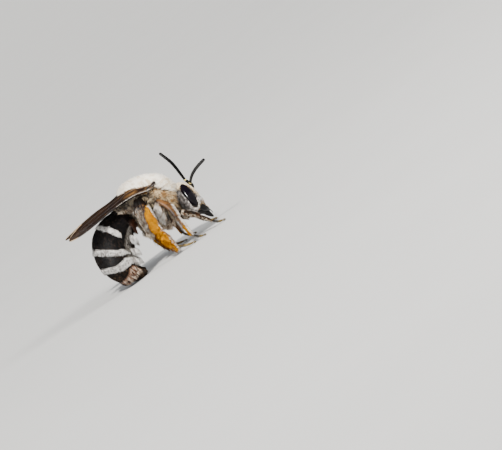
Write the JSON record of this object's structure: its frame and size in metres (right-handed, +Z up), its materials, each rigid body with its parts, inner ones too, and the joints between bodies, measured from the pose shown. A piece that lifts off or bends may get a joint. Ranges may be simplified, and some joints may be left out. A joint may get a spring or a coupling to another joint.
{
  "type": "banded digger bee, female, life-size still model",
  "caption": "Furry digger bee standing with its banded abdomen curled down, smoky wings folded and orange pollen on its hind legs; a life-size still model.",
  "frame": {"origin": "on the floor, under the middle of the bee's bounding box", "axes": "+X forward, out of the bee's face; +Y to its left; +Z up"},
  "size_m": [0.0142, 0.007, 0.0081],
  "materials": {
    "plush": "matt dense hair, ivory above and buff at the sides",
    "black_pile": "short black pile with white bands of hair",
    "eye": "glossy near-black compound eye",
    "face_hair": "cream and grey hair over black shell",
    "shell": "glossy black insect shell",
    "wing": "smoky brown membrane with dark veins",
    "leg": "brown to black leg with pale hair",
    "pollen": "orange pollen packed in leg hair"
  },
  "bodies": {
    "root": {"abdomen_1": "black_pile", "abdomen_2": "black_pile", "abdomen_3": "black_pile", "abdomen_4": "black_pile", "abdomen_5": "black_pile", "abdomen_6": "black_pile", "antenna_flagellum_left": "shell", "antenna_flagellum_right": "shell", "antenna_scape_left": "shell", "antenna_scape_right": "shell", "eye_left": "eye", "eye_right": "eye", "foreleg_basitarsus_left": "leg", "foreleg_basitarsus_right": "leg", "foreleg_femur_left": "leg", "foreleg_femur_right": "leg", "foreleg_tarsus_left": "leg", "foreleg_tarsus_right": "leg", "foreleg_tibia_left": "leg", "foreleg_tibia_right": "leg", "forewing_left": "wing", "forewing_right": "wing", "head": "face_hair", "hindleg_basitarsus_left": "pollen", "hindleg_basitarsus_right": "pollen", "hindleg_femur_left": "leg", "hindleg_femur_right": "leg", "hindleg_tarsus_left": "leg", "hindleg_tarsus_right": "leg", "hindleg_tibia_left": "pollen", "hindleg_tibia_right": "pollen", "hindwing_left": "wing", "hindwing_right": "wing", "labrum": "shell", "mandible_left": "shell", "mandible_right": "shell", "midleg_basitarsus_left": "leg", "midleg_basitarsus_right": "leg", "midleg_femur_left": "leg", "midleg_femur_right": "leg", "midleg_tarsus_left": "leg", "midleg_tarsus_right": "leg", "midleg_tibia_left": "leg", "midleg_tibia_right": "leg", "proboscis": "shell", "tegula_left": "shell", "tegula_right": "shell", "thorax": "plush"}
  },
  "joints": []
}
